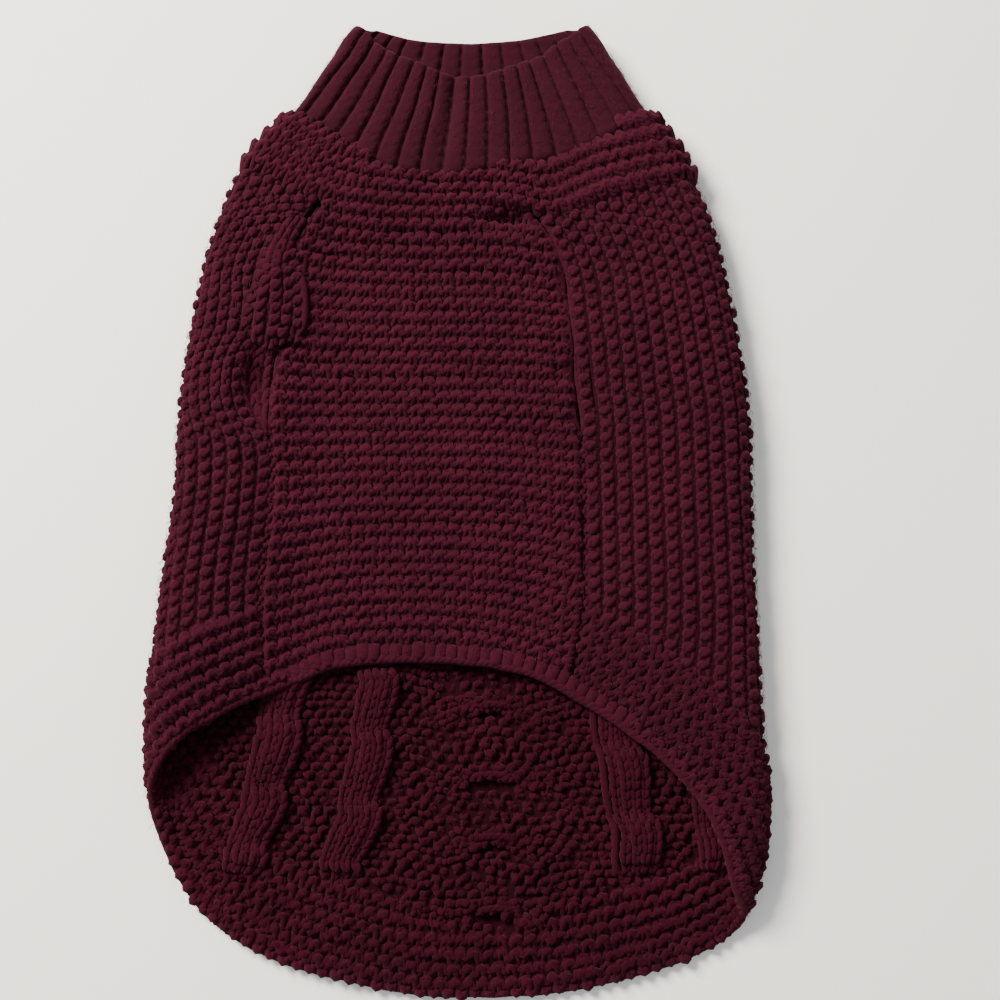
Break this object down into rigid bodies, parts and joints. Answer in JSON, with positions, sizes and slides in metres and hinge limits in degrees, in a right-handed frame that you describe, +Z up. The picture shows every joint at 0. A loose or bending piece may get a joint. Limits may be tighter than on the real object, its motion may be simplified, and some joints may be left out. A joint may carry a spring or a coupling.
{
  "type": "dog sweater",
  "caption": "Knitted dog sweater laid flat belly side up: ribbed turtleneck, garter yoke and belly panel, beaded rib flanks, leg slits and a wide hem mouth.",
  "frame": {"origin": "on the surface the sweater lies on, under the middle of its outline", "axes": "+Z up out of the surface through the belly side, +Y from the hem to the neck, +X to the right as the belly side is seen with the neck away from the viewer"},
  "size_m": [0.2159, 0.3515, 0.0159],
  "materials": {
    "wool_body": "matte",
    "wool_garter": "matte",
    "wool_rib": "matte",
    "wool_band": "matte"
  },
  "bodies": {
    "root": {"back": "wool_body", "belly_panel": "wool_garter", "yoke": "wool_garter", "collar": "wool_rib", "hem_band": "wool_band", "leg_band_left": "wool_band", "leg_band_right": "wool_band"}
  },
  "joints": []
}
